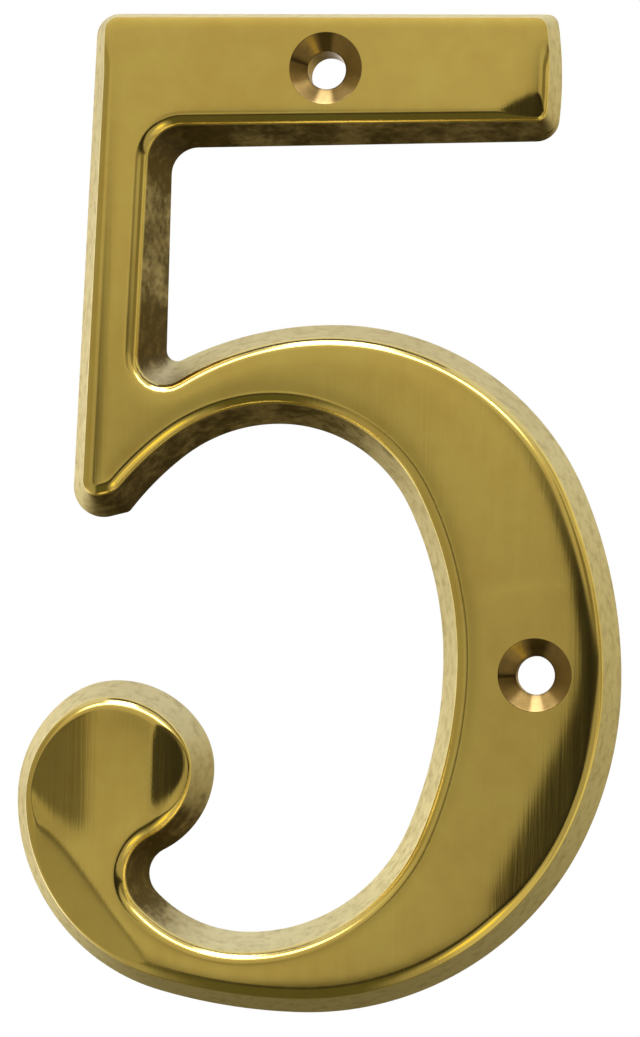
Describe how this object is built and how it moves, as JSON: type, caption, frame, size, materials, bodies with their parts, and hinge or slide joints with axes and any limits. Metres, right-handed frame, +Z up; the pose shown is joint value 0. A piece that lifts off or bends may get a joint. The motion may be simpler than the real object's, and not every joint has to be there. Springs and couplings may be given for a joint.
{
  "type": "door number",
  "caption": "Upright cast brass door numeral with leaning side walls, a rolled edge, a flat back and countersunk screw holes for fixing to a door or wall.",
  "frame": {"origin": "midway between the axes of the screw holes, on the flat back", "axes": "+Z up and +X to the right as the number is read, -Y out of the face towards the reader, +Y into the door"},
  "size_m": [0.0615, 0.006, 0.102],
  "materials": {
    "brass": "satin polished face, dull cast walls"
  },
  "bodies": {
    "root": {"number_five": "brass"}
  },
  "joints": []
}
